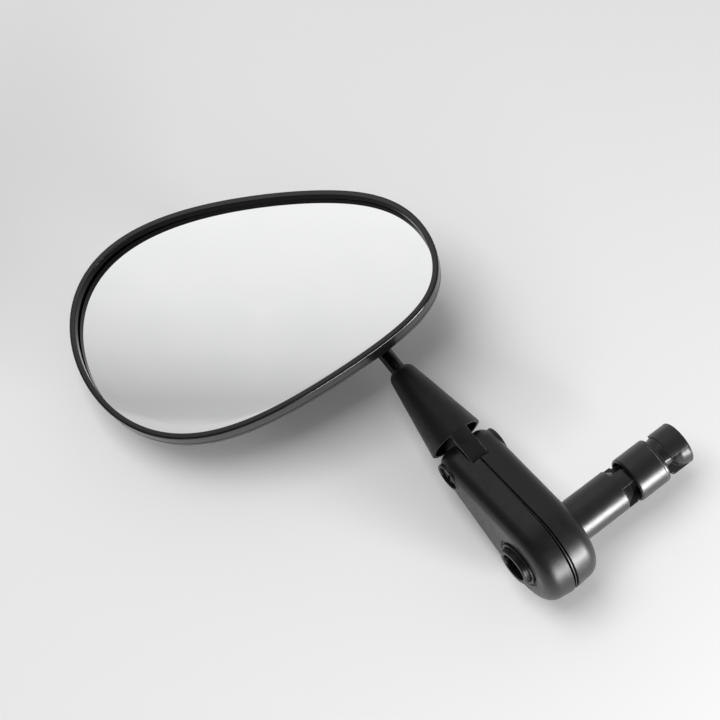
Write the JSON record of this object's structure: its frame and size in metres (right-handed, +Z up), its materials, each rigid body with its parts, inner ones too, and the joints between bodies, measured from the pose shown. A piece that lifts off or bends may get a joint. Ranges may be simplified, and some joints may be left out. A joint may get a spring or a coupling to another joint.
{
  "type": "bicycle bar-end mirror",
  "caption": "Egg-shaped convex rear-view mirror on a ball stem, folding cone and two-part arm, with an expanding plug that fits inside a handlebar end.",
  "frame": {"origin": "on the plug's axis, in the plane of the arm's bar-side face, where the handlebar's end meets the arm", "axes": "+X along the plug into the handlebar, +Z up along the arm towards the mirror, mirror faces -Y"},
  "size_m": [0.1512, 0.0461, 0.1979],
  "materials": {
    "satin_plastic": "satin moulded black",
    "gloss_plastic": "glossy moulded black",
    "steel": "zinc plated",
    "black_steel": "black oxide",
    "foam": "closed-cell foam",
    "silvered_glass": "silvered convex glass"
  },
  "bodies": {
    "plug": {"plug_tube": "satin_plastic", "pivot_collar": "satin_plastic", "lock_ring": "satin_plastic", "pivot_washer": "satin_plastic", "friction_ring": "black_steel", "bolt_washer": "steel", "expander_sleeve": "satin_plastic"},
    "bolt": {"plug_bolt": "black_steel"},
    "nut": {"wedge_nut": "satin_plastic"},
    "arm": {"arm_left_half": "satin_plastic", "arm_right_half": "satin_plastic", "hinge_screw": "black_steel", "hinge_nut": "black_steel", "hinge_washer_left": "steel", "hinge_washer_right": "steel"},
    "knuckle": {"hinge_cone": "satin_plastic"},
    "stem": {"ball_stem": "black_steel"},
    "head": {"mirror_rim": "gloss_plastic", "mirror_housing": "gloss_plastic", "mirror_glass": "silvered_glass", "glass_pad": "foam", "socket_cup": "gloss_plastic", "socket_cap": "gloss_plastic", "socket_screw_1": "steel", "socket_screw_2": "steel"}
  },
  "joints": [
    {"name": "bolt_turn", "type": "hinge", "parent": "plug", "child": "bolt", "pos_m": [-0.012, 0, 0], "axis": [1, 0, 0], "range_deg": [0, 720]},
    {"name": "nut_slide", "type": "slide", "parent": "plug", "child": "nut", "axis": [1, 0, 0], "range_m": [-0.0021, 0]},
    {"name": "arm_swing", "type": "hinge", "parent": "plug", "child": "arm", "pos_m": [0, 0, 0], "axis": [1, 0, 0], "continuous": true},
    {"name": "knuckle_fold", "type": "hinge", "parent": "arm", "child": "knuckle", "pos_m": [-0.011, 0, 0.0385], "axis": [1, 0, 0], "range_deg": [-30, 30]},
    {"name": "mirror_pan", "type": "hinge", "parent": "knuckle", "child": "stem", "pos_m": [-0.011, 0, 0.08], "axis": [0, 0, 1], "range_deg": [-45, 45]},
    {"name": "mirror_tilt", "type": "hinge", "parent": "stem", "child": "head", "pos_m": [-0.011, 0, 0.11], "axis": [1, 0, 0], "range_deg": [-20, 20]}
  ],
  "couplings": [
    {"joint": "nut_slide", "follows": "bolt_turn", "m_per_rad": -0.00015915}
  ]
}
